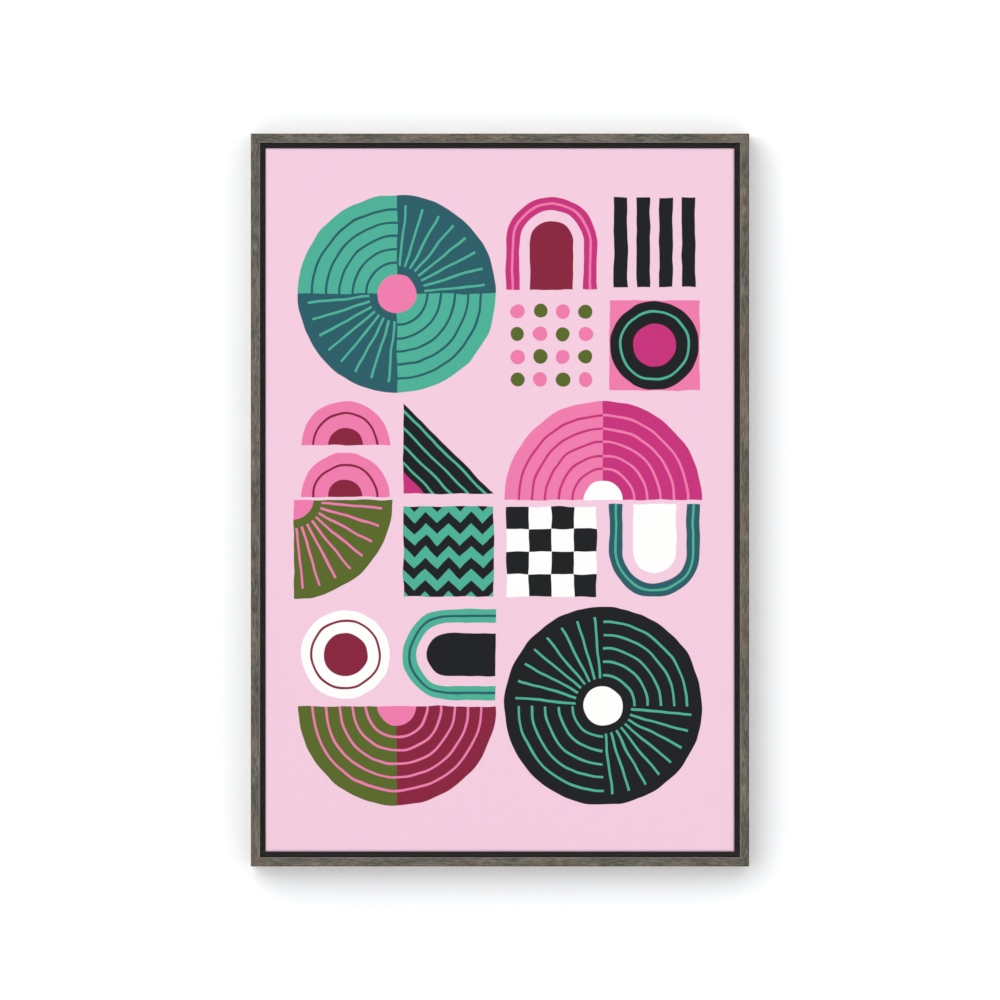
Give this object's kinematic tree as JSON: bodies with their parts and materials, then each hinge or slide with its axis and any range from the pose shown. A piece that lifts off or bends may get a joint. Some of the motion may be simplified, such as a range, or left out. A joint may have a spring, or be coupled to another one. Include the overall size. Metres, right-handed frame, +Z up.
{
  "type": "framed canvas print",
  "caption": "Portrait canvas print on a braced stretcher, set back in a narrow wooden floater frame with a shadow gap all round, hung on a wall by a sawtooth hanger.",
  "frame": {"origin": "on the wall, at the middle notch of the sawtooth hanger, where the wall's nail carries the frame", "axes": "+Z is up, +Y points into the wall, and +X is to the right for someone who looks at the print, which faces -Y"},
  "size_m": [0.6478, 0.0477, 0.9525],
  "materials": {
    "frame_wood": "grey-brown stained woodgrain outside, satin, with the inside of the moulding stained black",
    "stretcher_pine": "bare planed pine",
    "printed_canvas": null,
    "zinc_steel": "bright zinc plate",
    "brassed_steel": "brass plate on pressed steel",
    "bumper_felt": "dense dark grey felt"
  },
  "bodies": {
    "root": {"frame_rail_top": "frame_wood", "frame_rail_right": "frame_wood", "frame_rail_bottom": "frame_wood", "frame_rail_left": "frame_wood", "stretcher_bar_top": "stretcher_pine", "stretcher_bar_right": "stretcher_pine", "stretcher_bar_bottom": "stretcher_pine", "stretcher_bar_left": "stretcher_pine", "centre_brace": "stretcher_pine", "canvas_cloth": "printed_canvas", "mount_screw_top_a": "zinc_steel", "mount_screw_top_b": "zinc_steel", "mount_screw_right_a": "zinc_steel", "mount_screw_right_b": "zinc_steel", "mount_screw_bottom_a": "zinc_steel", "mount_screw_bottom_b": "zinc_steel", "mount_screw_left_a": "zinc_steel", "mount_screw_left_b": "zinc_steel", "frame_v_nail_top_right_1": "zinc_steel", "frame_v_nail_top_right_2": "zinc_steel", "frame_v_nail_bottom_right_1": "zinc_steel", "frame_v_nail_bottom_right_2": "zinc_steel", "frame_v_nail_bottom_left_1": "zinc_steel", "frame_v_nail_bottom_left_2": "zinc_steel", "frame_v_nail_top_left_1": "zinc_steel", "frame_v_nail_top_left_2": "zinc_steel", "stretcher_v_nail_top_right": "zinc_steel", "stretcher_v_nail_bottom_right": "zinc_steel", "stretcher_v_nail_bottom_left": "zinc_steel", "stretcher_v_nail_top_left": "zinc_steel", "sawtooth_hanger": "brassed_steel", "hanger_nail_left": "brassed_steel", "hanger_nail_right": "brassed_steel", "wall_bumper_left": "bumper_felt", "wall_bumper_right": "bumper_felt"}
  },
  "joints": []
}
